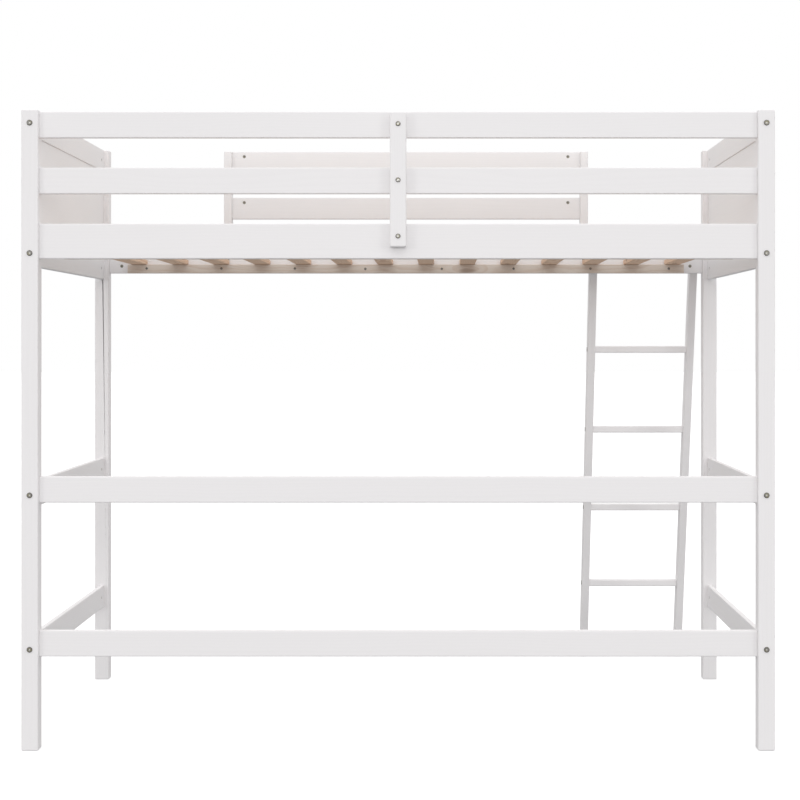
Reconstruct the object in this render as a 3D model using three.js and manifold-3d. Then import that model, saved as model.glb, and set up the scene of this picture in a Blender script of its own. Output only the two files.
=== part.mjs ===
// A loft bed: one raised berth on four posts, a guard all round it, and a ladder at the rear.
// Millimetres. +X runs along the bed, +Y to the rear, +Z up. The floor is z = 0, and inside the
// bed group the front faces of the front posts are y = 0.

import * as THREE from "three";
import { mergeVertices } from "three/addons/utils/BufferGeometryUtils.js";
import Module from "manifold-3d";

const wasm = await Module();
wasm.setup();

// Overall sizes, over the outer sides of the posts.
const bedLength = 2003;
const bedWidth = 1059;
const postHeight = 1704;

// Clearances and the fineness of the rounded shapes.
const gap = 0.3; // left between two pieces that touch
const past = 1; // how far a cutter starts outside the wood
const arcSteps = 1; // two facets on each rounded edge
const boreSides = 8;
const nutBoreSides = 12;
const headSides = 16;

// Timber sections. The side rail is a deeper board of the same thickness as the other rails.
const post = { side: 45, round: 3, chamfer: 2 };
const rail = { thickness: 18, height: 70, round: 2.5 };
const sideRailHeight = 93.5;
const endBoard = { thickness: 15, height: 70, round: 2.5 };
const panel = { thickness: 10, tongue: 6, round: 1 };
const batten = { width: 43.5, thickness: 25, round: 3, chamfer: 3 };
const upright = { width: 25, depth: 45, round: 2.5, chamfer: 2 };
const ledger = { depth: 20, height: 28, round: 1.5, endRoom: 61.5 };
const slat = { count: 14, width: 50, thickness: 15, round: 2, endRoom: 2, firstFromPost: 98 };

// Heights of the boards.
const topRailDrop = 4; // from the post tops down to the front top rail
const railSpacing = 149; // from one guard board down to the next
const sideRailDrop = 396; // from the post tops down to the lower edge of the side rails
const upperStretcherHeight = 693; // centre of the front upper stretcher
const lowerStretcherHeight = 283; // centre of the front lower stretcher
const endStretcherDrop = 14; // the end stretchers sit lower, so that bolts pass each other
const endBedRailRise = 14.6; // centre of the end bed rail over the side rail's lower edge
const battenLift = 30; // the batten's foot over the side rail's lower edge
const battenTopDrop = 2.5; // from the front top rail's upper edge down to the batten's
const uprightLift = 10; // the guard uprights' feet over the side rail's lower edge

// Ladder. It fills the gap between the rear guard and the right rear post.
const ladder = {
  width: 349,
  guardRoom: 4.7, // from the guard's upright to the left stile
  postRoom: 13.3, // from the right stile to the post
  reach: 392, // from the side rail out to the front edge of the foot
  stile: { thickness: 25, depth: 45, chamfer: 2 },
  rung: { count: 4, thickness: 22, depth: 32, round: 3 },
  lowestRung: 263, // centre of the lowest rung above the floor
  topRungDrop: 245.8, // from the side rail's lower edge down to the highest rung
};

// Hardware: flat-headed bolts with hexagon sockets, and the bores for their barrel nuts.
const bolt = { shank: 6, bore: 7.4, tip: 1 };
const postBoltHead = { diameter: 15, height: 2.6, edge: 1.2, socket: 4.6, socketDepth: 1.7 };
const battenBoltHead = { diameter: 13, height: 2.8, edge: 1.6, socket: 4.6, socketDepth: 1.7 };
const nut = { bore: 10.8, length: 12, setBack: 39, overrun: 8, floor: 1.5, drop: 16 };
const boltTipRoom = 2; // left between a bolt's tip and the end of its bore
const battenFootBoltRise = 29; // over the batten's foot
const uprightBoltRises = [42, 74]; // over the side rail's lower edge
const ladderBolt = { rise: 62, grip: 18, nutDepth: 12 };
const pilotDepth = 30; // bore for a rung's bolt

// Heights and places worked out from the sizes above.
const sideRailBottom = postHeight - sideRailDrop;
const sideRailTop = sideRailBottom + sideRailHeight;
const sideRailCentre = sideRailBottom + sideRailHeight / 2;
const topRailCentre = postHeight - topRailDrop - rail.height / 2;
const middleRailCentre = topRailCentre - railSpacing;
const guardTopCentre = postHeight - rail.height / 2;
const endTopCentre = postHeight - endBoard.height / 2;
const endBedCentre = sideRailBottom + endBedRailRise;
const endUpperCentre = upperStretcherHeight - endStretcherDrop;
const endLowerCentre = lowerStretcherHeight - endStretcherDrop;
const ledgerTop = sideRailBottom + ledger.height;

const postX = bedLength / 2 - post.side / 2;
const frontPostY = post.side / 2;
const rearPostY = bedWidth - post.side / 2;
const railLength = bedLength - 2 * post.side - 2 * gap;
const endLength = bedWidth - 2 * post.side - 2 * gap;
const frontRailFace = frontPostY - rail.thickness / 2;
const frontRailBack = frontPostY + rail.thickness / 2;
const rearRailFront = rearPostY - rail.thickness / 2;
const rearRailBack = rearPostY + rail.thickness / 2;

const ladderOpening = ladder.guardRoom + ladder.width + ladder.postRoom;
const guardWidth = bedLength - 2 * post.side - 2 * ladderOpening;
const guardBoardLength = guardWidth - 2 * upright.width - 2 * gap;
const uprightX = guardWidth / 2 - upright.width / 2;
const uprightY = rearRailBack + gap + upright.depth / 2;
const uprightFoot = sideRailBottom + uprightLift;

const battenFoot = sideRailBottom + battenLift;
const battenTop = postHeight - topRailDrop - battenTopDrop;
const battenY = frontRailFace - gap - batten.thickness / 2;
const battenFace = battenY - batten.thickness / 2;

const stileX = ladder.stile.thickness / 2;
const ladderLeft = guardWidth / 2 + ladder.guardRoom;
const ladderRight = ladderLeft + ladder.width;
const ladderSlope = (ladder.reach - gap) / sideRailBottom;
const stileLevelDepth = ladder.stile.depth * Math.hypot(1, ladderSlope);
const highestRung = sideRailBottom - ladder.topRungDrop;
const rungSpacing = (highestRung - ladder.lowestRung) / (ladder.rung.count - 1);

const paint = new THREE.MeshStandardMaterial({ color: 0xf1f0ee, roughness: 0.5, metalness: 0 });
const pine = new THREE.MeshStandardMaterial({ color: 0xd8b592, roughness: 0.7, metalness: 0 });
const zinc = new THREE.MeshStandardMaterial({ color: 0xb9b6ac, roughness: 0.35, metalness: 1 });

// ---- solids ----

function solidOf(geometry) {
  const bare = geometry.clone();
  bare.deleteAttribute("normal");
  bare.deleteAttribute("uv");
  const merged = mergeVertices(bare);
  const index = merged.index.array;
  const triangles = [];
  for (let i = 0; i < index.length; i += 3) {
    const [a, b, c] = [index[i], index[i + 1], index[i + 2]];
    if (a !== b && b !== c && c !== a) triangles.push(a, b, c);
  }
  const vertProperties = Float32Array.from(merged.attributes.position.array);
  const triVerts = Uint32Array.from(triangles);
  return new wasm.Manifold(new wasm.Mesh({ numProp: 3, vertProperties, triVerts }));
}

function geometryOf(solid) {
  const { vertProperties, triVerts } = solid.getMesh();
  const geometry = new THREE.BufferGeometry();
  geometry.setAttribute("position", new THREE.BufferAttribute(vertProperties, 3));
  geometry.setIndex(new THREE.BufferAttribute(triVerts, 1));
  geometry.computeVertexNormals();
  return geometry;
}

function cut(geometry, cutters) {
  let solid = solidOf(geometry);
  for (const cutter of cutters) {
    solid = solid.subtract(solidOf(cutter));
  }
  return geometryOf(solid);
}

// A round cutter between two points.
function bore(start, end, diameter, sides = boreSides) {
  const from = new THREE.Vector3(...start);
  const to = new THREE.Vector3(...end);
  const middle = from.clone().add(to).multiplyScalar(0.5);
  const axis = to.clone().sub(from);
  const cylinder = new THREE.CylinderGeometry(diameter / 2, diameter / 2, axis.length(), sides);
  const turn = new THREE.Quaternion().setFromUnitVectors(new THREE.Vector3(0, 1, 0), axis.normalize());
  cylinder.applyQuaternion(turn);
  return cylinder.translate(middle.x, middle.y, middle.z);
}

// Turns an extrusion so that it runs along X, with its section's own x and y along Y and Z.
function layAlongX(geometry) {
  const alongY = new THREE.Vector3(0, 1, 0);
  const alongZ = new THREE.Vector3(0, 0, 1);
  const alongX = new THREE.Vector3(1, 0, 0);
  return geometry.applyMatrix4(new THREE.Matrix4().makeBasis(alongY, alongZ, alongX));
}

function roundedSection(width, height, round) {
  const x = width / 2 - round;
  const y = height / 2 - round;
  const section = new THREE.Shape();
  section.absarc(x, -y, round, -Math.PI / 2, 0);
  section.absarc(x, y, round, 0, Math.PI / 2);
  section.absarc(-x, y, round, Math.PI / 2, Math.PI);
  section.absarc(-x, -y, round, Math.PI, 1.5 * Math.PI);
  return section;
}

// A board with square ends, its length along X, centred on the origin.
function board(length, thickness, height, round) {
  const section = roundedSection(thickness, height, round);
  const settings = { depth: length, bevelEnabled: false, curveSegments: arcSteps };
  return layAlongX(new THREE.ExtrudeGeometry(section, settings).translate(0, 0, -length / 2));
}

// A standing timber with chamfered ends, its foot at z = 0.
function standing(width, depth, height, round, chamfer) {
  const settings = {
    depth: height - 2 * chamfer,
    bevelThickness: chamfer,
    bevelSize: chamfer,
    bevelOffset: -chamfer,
    bevelSegments: 1,
    curveSegments: arcSteps,
  };
  const section = roundedSection(width, depth, round);
  return new THREE.ExtrudeGeometry(section, settings).translate(0, 0, chamfer);
}

// Bolt bores into both ends of a board, and the bores for their barrel nuts through one face.
function endBores(length, thickness, heights, nutSide) {
  const cutters = [];
  for (const end of [-1, 1]) {
    const mouth = end * (length / 2 + past);
    const bottom = end * (length / 2 - nut.setBack - nut.overrun);
    const nutX = end * (length / 2 - nut.setBack);
    const nutMouth = nutSide * (thickness / 2 + past);
    const nutFloor = -nutSide * (thickness / 2 - nut.floor);
    for (const z of heights) {
      cutters.push(bore([mouth, 0, z], [bottom, 0, z], bolt.bore));
      cutters.push(bore([nutX, nutMouth, z], [nutX, nutFloor, z], nut.bore, nutBoreSides));
    }
  }
  return cutters;
}

// A barrel nut's bore into one side of a standing timber, past the bolt on the timber's own middle.
function nutBore(side, width, y, z) {
  const mouth = side * (width / 2 + past);
  const bottom = (-side * nut.length) / 2;
  return bore([mouth, y, z], [bottom, y, z], nut.bore, nutBoreSides);
}

// Through bores along Y, in a board's own frame.
function faceBores(thickness, places) {
  const mouth = thickness / 2 + past;
  return places.map(([x, z]) => bore([x, -mouth, z], [x, mouth, z], bolt.bore));
}

// A groove along one edge of an end board, for the panel's tongue. Edge is 1 for the top, -1 for the
// bottom.
function panelGroove(edge) {
  const width = panel.thickness + 2 * gap;
  const depth = 2 * (panel.tongue + gap);
  const groove = new THREE.BoxGeometry(endLength + 2 * past, width, depth);
  return groove.translate(0, 0, (edge * endBoard.height) / 2);
}

function boltSolid(head, length) {
  const radius = bolt.shank / 2;
  const outline = [
    [0, -length],
    [radius - bolt.tip, -length],
    [radius, bolt.tip - length],
    [radius, 0],
    [head.diameter / 2, 0],
    [head.diameter / 2, head.height - head.edge],
    [head.diameter / 2 - head.edge, head.height],
    [0, head.height],
  ];
  const points = outline.map(([x, y]) => new THREE.Vector2(x, y));
  const across = head.socket / Math.sqrt(3);
  const socket = new THREE.CylinderGeometry(across, across, 2 * head.socketDepth, 6);
  return cut(new THREE.LatheGeometry(points, headSides), [socket.translate(0, head.height, 0)]);
}

// ---- pieces ----

function piece(name, geometry, material, x, y, z) {
  const mesh = new THREE.Mesh(geometry, material);
  mesh.name = name;
  mesh.position.set(x, y, z);
  return mesh;
}

const sideRailBoltHeights = [-sideRailHeight / 4, sideRailHeight / 4];
const railBoltHeights = [rail.height / 2 - nut.drop];
const frontBoltLevels = [
  topRailCentre + railBoltHeights[0],
  middleRailCentre + railBoltHeights[0],
  upperStretcherHeight + railBoltHeights[0],
  lowerStretcherHeight + railBoltHeights[0],
];
const sideRailBoltLevels = sideRailBoltHeights.map((z) => sideRailCentre + z);
const endBoltLevels = [endTopCentre, endBedCentre, endUpperCentre, endLowerCentre];

// A post has through bores along X for the rails' bolts and along Y for the end boards' bolts.
function postGeometry(railLevels) {
  const mouth = post.side / 2 + past;
  const alongX = railLevels.map((z) => bore([-mouth, 0, z], [mouth, 0, z], bolt.bore));
  const alongY = endBoltLevels.map((z) => bore([0, -mouth, z], [0, mouth, z], bolt.bore));
  const blank = standing(post.side, post.side, postHeight, post.round, post.chamfer);
  return cut(blank, [...alongX, ...alongY]);
}

function posts() {
  const group = new THREE.Group();
  const frontPost = postGeometry([...sideRailBoltLevels, ...frontBoltLevels]);
  const rearPost = postGeometry(sideRailBoltLevels);
  for (const [side, x] of [["left", -postX], ["right", postX]]) {
    group.add(piece(`front_${side}_post`, frontPost, paint, x, frontPostY, 0));
    group.add(piece(`rear_${side}_post`, rearPost, paint, x, rearPostY, 0));
  }
  return group;
}

function frontBoards() {
  const group = new THREE.Group();
  const ends = endBores(railLength, rail.thickness, railBoltHeights, 1);
  const blank = board(railLength, rail.thickness, rail.height, rail.round);
  const stretcher = cut(blank, ends);
  const guardRail = cut(blank, [...ends, ...faceBores(rail.thickness, [[0, 0]])]);
  group.add(piece("front_top_rail", guardRail, paint, 0, frontPostY, topRailCentre));
  group.add(piece("front_middle_rail", guardRail, paint, 0, frontPostY, middleRailCentre));
  group.add(piece("front_upper_stretcher", stretcher, paint, 0, frontPostY, upperStretcherHeight));
  group.add(piece("front_lower_stretcher", stretcher, paint, 0, frontPostY, lowerStretcherHeight));
  return group;
}

function sideRail(name, y, nutSide, boltPlaces) {
  const ends = endBores(railLength, rail.thickness, sideRailBoltHeights, nutSide);
  const blank = board(railLength, rail.thickness, sideRailHeight, rail.round);
  const geometry = cut(blank, [...ends, ...faceBores(rail.thickness, boltPlaces)]);
  return piece(name, geometry, paint, 0, y, sideRailCentre);
}

function sideRails() {
  const group = new THREE.Group();
  const battenBolt = [0, battenFoot + battenFootBoltRise - sideRailCentre];
  const rearBolts = [];
  for (const x of [-uprightX, uprightX]) {
    for (const rise of uprightBoltRises) {
      rearBolts.push([x, rise - sideRailHeight / 2]);
    }
  }
  for (const x of [ladderLeft + stileX, ladderRight - stileX]) {
    rearBolts.push([x, ladderBolt.rise - sideRailHeight / 2]);
  }
  group.add(sideRail("front_side_rail", frontPostY, 1, [battenBolt]));
  group.add(sideRail("rear_side_rail", rearPostY, -1, rearBolts));
  return group;
}

function battenBoltLevels() {
  return [topRailCentre, middleRailCentre, battenFoot + battenFootBoltRise];
}

function frontBatten() {
  const mouth = batten.thickness / 2 + past;
  const blank = standing(
    batten.width,
    batten.thickness,
    battenTop - battenFoot,
    batten.round,
    batten.chamfer,
  );
  const bores = battenBoltLevels().map((level) => {
    const z = level - battenFoot;
    return bore([0, -mouth, z], [0, mouth, z], bolt.bore);
  });
  return piece("front_batten", cut(blank, bores), paint, 0, battenY, battenFoot);
}

// One guard upright. The bolts from the side rail come in through its front face, and their barrel
// nuts through the side that faces away from the guard boards.
function uprightGeometry(side) {
  const height = postHeight - uprightFoot;
  const front = -upright.depth / 2;
  const cutters = [];
  for (const rise of uprightBoltRises) {
    const z = sideRailBottom + rise - uprightFoot;
    cutters.push(bore([0, front - past, z], [0, nut.overrun, z], bolt.bore));
    cutters.push(nutBore(side, upright.width, 0, z));
  }
  for (const level of [guardTopCentre, guardTopCentre - railSpacing]) {
    const z = level + railBoltHeights[0] - uprightFoot;
    const mouth = upright.width / 2 + past;
    cutters.push(bore([-mouth, 0, z], [mouth, 0, z], bolt.bore));
  }
  const { width, depth, round, chamfer } = upright;
  return cut(standing(width, depth, height, round, chamfer), cutters);
}

function rearGuard() {
  const group = new THREE.Group();
  const ends = endBores(guardBoardLength, rail.thickness, railBoltHeights, -1);
  const guardBoard = cut(board(guardBoardLength, rail.thickness, rail.height, rail.round), ends);
  group.add(piece("guard_top_board", guardBoard, paint, 0, uprightY, guardTopCentre));
  group.add(piece("guard_lower_board", guardBoard, paint, 0, uprightY, guardTopCentre - railSpacing));
  for (const [name, side] of [["left", -1], ["right", 1]]) {
    const geometry = uprightGeometry(side);
    group.add(piece(`guard_${name}_upright`, geometry, paint, side * uprightX, uprightY, uprightFoot));
  }
  return group;
}

// The boards and the panel of one end, laid along X and turned to run from front to rear.
function endFrame(name, side) {
  const frame = new THREE.Group();
  frame.position.set(side * postX, bedWidth / 2, 0);
  frame.rotation.z = Math.PI / 2;
  const ends = endBores(endLength, endBoard.thickness, [0], side);
  const blank = board(endLength, endBoard.thickness, endBoard.height, endBoard.round);
  const plain = cut(blank, ends);
  frame.add(piece(`${name}_end_top_rail`, cut(blank, [...ends, panelGroove(-1)]), paint, 0, 0, endTopCentre));
  frame.add(piece(`${name}_end_bed_rail`, cut(blank, [...ends, panelGroove(1)]), paint, 0, 0, endBedCentre));
  frame.add(piece(`${name}_end_upper_stretcher`, plain, paint, 0, 0, endUpperCentre));
  frame.add(piece(`${name}_end_lower_stretcher`, plain, paint, 0, 0, endLowerCentre));
  const panelBottom = endBedCentre + endBoard.height / 2 - panel.tongue;
  const panelTop = endTopCentre - endBoard.height / 2 + panel.tongue;
  const sheet = board(endLength, panel.thickness, panelTop - panelBottom, panel.round);
  frame.add(piece(`${name}_end_panel`, sheet, paint, 0, 0, (panelBottom + panelTop) / 2));
  return frame;
}

function ledgers() {
  const group = new THREE.Group();
  const geometry = board(railLength - 2 * ledger.endRoom, ledger.depth, ledger.height, ledger.round);
  const inset = gap + ledger.depth / 2;
  const z = sideRailBottom + ledger.height / 2;
  group.add(piece("front_ledger", geometry, pine, 0, frontRailBack + inset, z));
  group.add(piece("rear_ledger", geometry, pine, 0, rearRailFront - inset, z));
  return group;
}

function slats() {
  const group = new THREE.Group();
  group.position.set(0, bedWidth / 2, ledgerTop + gap + slat.thickness / 2);
  group.rotation.z = Math.PI / 2;
  const clearWidth = rearRailFront - frontRailBack;
  const geometry = board(clearWidth - 2 * slat.endRoom, slat.width, slat.thickness, slat.round);
  const firstX = slat.firstFromPost + post.side - bedLength / 2;
  const spacing = (-2 * firstX) / (slat.count - 1);
  for (let i = 0; i < slat.count; i += 1) {
    const number = String(i + 1).padStart(2, "0");
    group.add(piece(`slat_${number}`, geometry, pine, 0, -(firstX + i * spacing), 0));
  }
  return group;
}

// A stile leans out from the side rail and is cut plumb where it lies against it.
function stileGeometry(side) {
  const { thickness, chamfer } = ladder.stile;
  const topRear = ladder.reach + stileLevelDepth - ladderSlope * sideRailTop;
  const outline = [
    [ladder.reach, 0],
    [ladder.reach + stileLevelDepth, 0],
    [topRear, sideRailTop],
    [gap, sideRailTop],
    [gap, sideRailBottom],
  ];
  const settings = {
    depth: thickness - 2 * chamfer,
    bevelThickness: chamfer,
    bevelSize: chamfer,
    bevelOffset: -chamfer,
    bevelSegments: 1,
  };
  const shape = new THREE.Shape(outline.map(([y, z]) => new THREE.Vector2(y, z)));
  const blank = new THREE.ExtrudeGeometry(shape, settings).translate(0, 0, chamfer - thickness / 2);
  const boltZ = sideRailBottom + ladderBolt.rise;
  const cutters = [
    bore([0, gap - past, boltZ], [0, gap + ladderBolt.grip + boltTipRoom, boltZ], bolt.bore),
    nutBore(side, thickness, gap + ladderBolt.nutDepth, boltZ),
  ];
  for (const z of rungLevels()) {
    const y = rungY(z) - rearRailBack;
    const mouth = thickness / 2 + past;
    cutters.push(bore([-mouth, y, z], [mouth, y, z], bolt.bore));
  }
  return cut(layAlongX(blank), cutters);
}

function rungLevels() {
  return Array.from({ length: ladder.rung.count }, (_, i) => ladder.lowestRung + i * rungSpacing);
}

function rungY(z) {
  return rearRailBack + ladder.reach - ladderSlope * z + stileLevelDepth / 2;
}

function rungGeometry() {
  const { thickness, depth, round } = ladder.rung;
  const length = ladder.width - 2 * ladder.stile.thickness - 2 * gap;
  const cutters = [-1, 1].map((end) => {
    const mouth = end * (length / 2 + past);
    const bottom = end * (length / 2 - pilotDepth);
    return bore([mouth, 0, 0], [bottom, 0, 0], bolt.bore);
  });
  return cut(board(length, depth, thickness, round), cutters);
}

function ladderGroup() {
  const group = new THREE.Group();
  const rung = rungGeometry();
  const centreX = (ladderLeft + ladderRight) / 2;
  for (const [name, side] of [["left", -1], ["right", 1]]) {
    const x = centreX + side * (ladder.width / 2 - stileX);
    group.add(piece(`ladder_${name}_stile`, stileGeometry(side), paint, x, rearRailBack, 0));
  }
  rungLevels().forEach((z, i) => {
    group.add(piece(`ladder_rung_${i + 1}`, rung, paint, centreX, rungY(z), z));
  });
  return group;
}

// Bolts lie along Y with their heads to the front. A seat is the face that the head lies on.
function boltAt(name, geometry, x, seat, z) {
  const mesh = piece(name, geometry, zinc, x, seat - gap, z);
  mesh.rotation.z = Math.PI;
  return mesh;
}

function hardware() {
  const group = new THREE.Group();
  const postBolt = boltSolid(postBoltHead, post.side + nut.setBack + nut.overrun - boltTipRoom);
  const battenBolt = boltSolid(battenBoltHead, batten.thickness + rail.thickness);
  const ladderBoltSolid = boltSolid(postBoltHead, rail.thickness + ladderBolt.grip);
  for (const [side, x] of [["left", -postX], ["right", postX]]) {
    endBoltLevels.forEach((z, i) => {
      group.add(boltAt(`${side}_post_bolt_${i + 1}`, postBolt, x, 0, z));
    });
  }
  battenBoltLevels().forEach((z, i) => {
    group.add(boltAt(`batten_bolt_${i + 1}`, battenBolt, 0, battenFace, z));
  });
  const ladderZ = sideRailBottom + ladderBolt.rise;
  group.add(boltAt("ladder_left_bolt", ladderBoltSolid, ladderLeft + stileX, rearRailFront, ladderZ));
  group.add(boltAt("ladder_right_bolt", ladderBoltSolid, ladderRight - stileX, rearRailFront, ladderZ));
  return group;
}

// ---- the bed, with its origin under the middle of its bounding box ----

const bed = new THREE.Group();
const frontmost = battenFace - gap - battenBoltHead.height;
const rearmost = rearRailBack + ladder.reach + stileLevelDepth;
bed.position.y = -(frontmost + rearmost) / 2;
bed.add(posts(), frontBoards(), sideRails(), frontBatten(), rearGuard());
bed.add(endFrame("left", -1), endFrame("right", 1));
bed.add(ledgers(), slats(), ladderGroup(), hardware());

const object = new THREE.Group();
object.add(bed);
object.updateMatrixWorld(true);

export default object;
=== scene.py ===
"""A loft bed with a ladder: lacquer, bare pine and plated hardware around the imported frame."""

import math
import random

import bmesh
import bpy
from bpy.props import FloatProperty, FloatVectorProperty, PointerProperty
from bpy.types import Operator, Panel, PropertyGroup
from mathutils import Euler, Matrix, Vector


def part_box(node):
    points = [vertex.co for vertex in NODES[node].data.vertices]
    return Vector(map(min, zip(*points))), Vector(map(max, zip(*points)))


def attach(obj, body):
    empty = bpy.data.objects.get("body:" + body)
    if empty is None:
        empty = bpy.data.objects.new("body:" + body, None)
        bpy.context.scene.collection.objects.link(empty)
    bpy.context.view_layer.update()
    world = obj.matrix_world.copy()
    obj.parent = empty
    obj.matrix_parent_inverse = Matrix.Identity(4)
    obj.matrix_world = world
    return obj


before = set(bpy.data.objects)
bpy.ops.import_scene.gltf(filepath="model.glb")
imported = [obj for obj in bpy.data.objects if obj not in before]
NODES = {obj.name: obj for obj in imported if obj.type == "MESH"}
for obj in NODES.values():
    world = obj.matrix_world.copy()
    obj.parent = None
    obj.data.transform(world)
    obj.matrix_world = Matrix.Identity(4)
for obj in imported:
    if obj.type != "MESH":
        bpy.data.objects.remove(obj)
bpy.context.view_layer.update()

bl_info = {
    "name": "Loft bed",
    "version": (1, 0, 0),
    "blender": (4, 5, 0),
    "location": "3D View > Sidebar > Loft bed",
    "description": "Finishes a loft bed's boards, adds its bolts, nuts and screws, sets the stage",
    "category": "Object",
}

BODY = "root"
MM = 0.001
AROUND = 48  # corners round a turned piece

# Which way the fibres of a board run, as the turn that lays them along X.
STILE_LEAN = math.atan2(
    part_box("ladder_rung_1")[0].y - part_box("ladder_rung_4")[0].y,
    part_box("ladder_rung_4")[0].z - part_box("ladder_rung_1")[0].z,
)
GRAIN_TURNS = {
    "long": (0.0, 0.0, 0.0),
    "deep": (0.0, 0.0, -math.pi / 2),
    "upright": (0.0, math.pi / 2, 0.0),
    "leaning": (-STILE_LEAN, math.pi / 2, 0.0),
}

# How far the joiner's sandpaper took each kind of timber's arrises back, in metres.
ARRISES = {
    "panel": 0.28 * MM,
    "ledger": 0.42 * MM,
    "slat": 0.5 * MM,
    "bolt": 0.16 * MM,
    "timber": 0.7 * MM,
}
ARRIS_ANGLE = math.radians(18)  # folds steeper than this are rounded
SHARP_ANGLE = math.radians(40)  # folds steeper than this stay sharp in the shading
TURNED_SHARP_ANGLE = math.radians(32)  # the same for turned pieces
FLAT_ANGLE = math.radians(0.5)  # faces flatter than this to each other are joined
WELD_DISTANCE = 0.01 * MM
ALONG_GRAIN = 0.98  # least cosine between the grain and an arris that runs along it

# Boards whose ends butt against a post, an upright or a stile.
BUTTED = ("rail", "stretcher", "board", "rung", "panel")

# Places of the fastenings on the boards, as they are bored.
NUT_SET_BACK = 39 * MM  # from the end of a board to its barrel nuts
BOLT_DROP = 16 * MM  # from the top of a rail to its bolts
NUT_RECESS = 0.6 * MM  # from the face of a board down to a barrel nut
UPRIGHT_BOLT_RISES = (42 * MM, 74 * MM)  # from the lower edge of the side rail
UPRIGHT_SIDE_DEPTH = 18.5 * MM  # depth of a nut's bore in the side of a standing timber
RAIL_FLOOR = 1.5 * MM  # wood left under a nut's bore in a board
NUT_END_ROOM = 0.6 * MM  # between a barrel nut and the floor of its bore
STILE_NUT_INSET = 12 * MM  # from the rail's side of a stile to its barrel nut
LEDGER_SCREW_RISE = 14.5 * MM  # over the lower edge of the ledger
LEDGER_SCREW_PLACES = (-833, -593, -357, -130, 116, 347, 594, 846)  # millimetres along the bed
SLAT_SCREW_INSET = 10 * MM  # from the end of a slat
LEDGER_TONE = (0.88, 1.07, 1.30)  # the ledgers' pine beside the slats', by channel
LEDGER_FIGURE = 0.45  # how strongly the ledgers' rings show
# Boards whose lacquer gets a cooler tint as painted light, against the warm bounce from the slats.
BOUNCE_LIT_BOARDS = ("guard", "panel", "end_top_rail", "end_bed_rail")
BOUNCE_COOLING_TONE = (0.988, 1.0, 1.004)  # painted light: the upper boards' lacquer made cooler, to offset the warm light bounced onto them from the pine slats, by channel

# Hardware that the settings don't hold.
LOW_HEAD = 1.1 * MM  # height of the heads on the uprights' and stiles' sides
POST_BOLT = 90 * MM  # lengths of the bolts
GUARD_BOLT = 70 * MM
UPRIGHT_BOLT = 46 * MM
RUNG_BOLT = 52 * MM
SLEEVE_NUT = 12 * MM
SCREW = 32 * MM
SOCKET_LIP = 0.25 * MM
SOCKET_DEPTH = 1.7 * MM
SOCKET_POINT = 1.95 * MM  # down to the point that the drill left
BORE_PLAY = 0.15 * MM
RIM_STEPS = 4

# Growth rings: the parts of a ring over which the wood darkens, and turns pale again.
RING_RISE = (0.30, 0.84)
RING_FALL = (0.90, 1.0)

# The stage, in metres.
FLOOR_REACH = 60
FLOOR_DROP = 0.2 * MM
GROUND_BAND = (-0.12, 0.0)  # heights of view between the ground's light and the walls'
CEILING_BAND = (0.2, 0.8)  # and between the walls' and the ceiling's
LIGHTS = (
    ("left_light", (-10.6, -10.4, 3.0), 3.2, "side_light"),
    ("right_light", (10.6, -10.4, 3.0), 3.2, "side_light"),
    ("front_light", (0, -16.8, 3.4), 3.6, "front_light"),
)
LIGHT_TARGET = (0, 0, 0.95)
CAMERA_PLACE = (0.1166, -5.5108, 1.085)
CAMERA_LENS = 80.91
CAMERA_SHIFT = (-0.0525, -0.0719)
VIEW_DEPTH = 200


# ---- sizes and colours ----


class LacquerSettings(PropertyGroup):
    white: FloatVectorProperty(
        name="White", description="Colour of the lacquer on a flat face",
        subtype="COLOR", default=(0.868, 0.851, 0.858), min=0, max=1,
    )
    shade: FloatVectorProperty(
        name="Shade", description="Colour where the lacquer sinks between the fibres",
        subtype="COLOR", default=(0.835, 0.818, 0.824), min=0, max=1,
    )
    arris: FloatVectorProperty(
        name="Arris", description="Colour where the lacquer is rubbed thin along an edge",
        subtype="COLOR", default=(0.77, 0.75, 0.745), min=0, max=1,
    )
    arris_width: FloatProperty(
        name="Arris width", description="Width of the rubbed strip along an edge",
        default=2.2 * MM, min=0, unit="LENGTH",
    )
    relief: FloatProperty(
        name="Relief", description="Height of the fibres that show through the lacquer",
        default=0.05 * MM, min=0, unit="LENGTH",
    )


class PineSettings(PropertyGroup):
    early: FloatVectorProperty(
        name="Early wood", description="Colour of the pale part of a growth ring",
        subtype="COLOR", default=(0.84, 0.62, 0.455), min=0, max=1,
    )
    late: FloatVectorProperty(
        name="Late wood", description="Colour of the dark part of a growth ring",
        subtype="COLOR", default=(0.61, 0.36, 0.22), min=0, max=1,
    )
    knot: FloatVectorProperty(
        name="Knot", description="Colour of a knot",
        subtype="COLOR", default=(0.24, 0.11, 0.05), min=0, max=1,
    )
    ring_spacing: FloatProperty(
        name="Ring spacing", description="Distance from one growth ring to the next",
        default=4.2 * MM, min=0.5 * MM, unit="LENGTH",
    )


class PlatingSettings(PropertyGroup):
    zinc: FloatVectorProperty(
        name="Zinc", description="Colour of the bright plating",
        subtype="COLOR", default=(0.30, 0.295, 0.285), min=0, max=1,
    )
    yellow: FloatVectorProperty(
        name="Yellow", description="Colour where the plating has a yellow cast",
        subtype="COLOR", default=(0.32, 0.29, 0.18), min=0, max=1,
    )
    # Painted shade: the dark ring over a rounded rim, and the dark middle of a nut's or screw's
    # face. Scratches take a little of it too.
    dark: FloatVectorProperty(
        name="Dark", description="Colour round the rim",
        subtype="COLOR", default=(0.09, 0.085, 0.08), min=0, max=1,
    )
    # Painted highlight: the bright glint on the floor of a bolt's socket.
    rubbed: FloatVectorProperty(
        name="Rubbed",
        description="Colour on the floor of a socket, where a key has rubbed it bright",
        subtype="COLOR", default=(0.80, 0.79, 0.76), min=0, max=1,
    )


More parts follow.
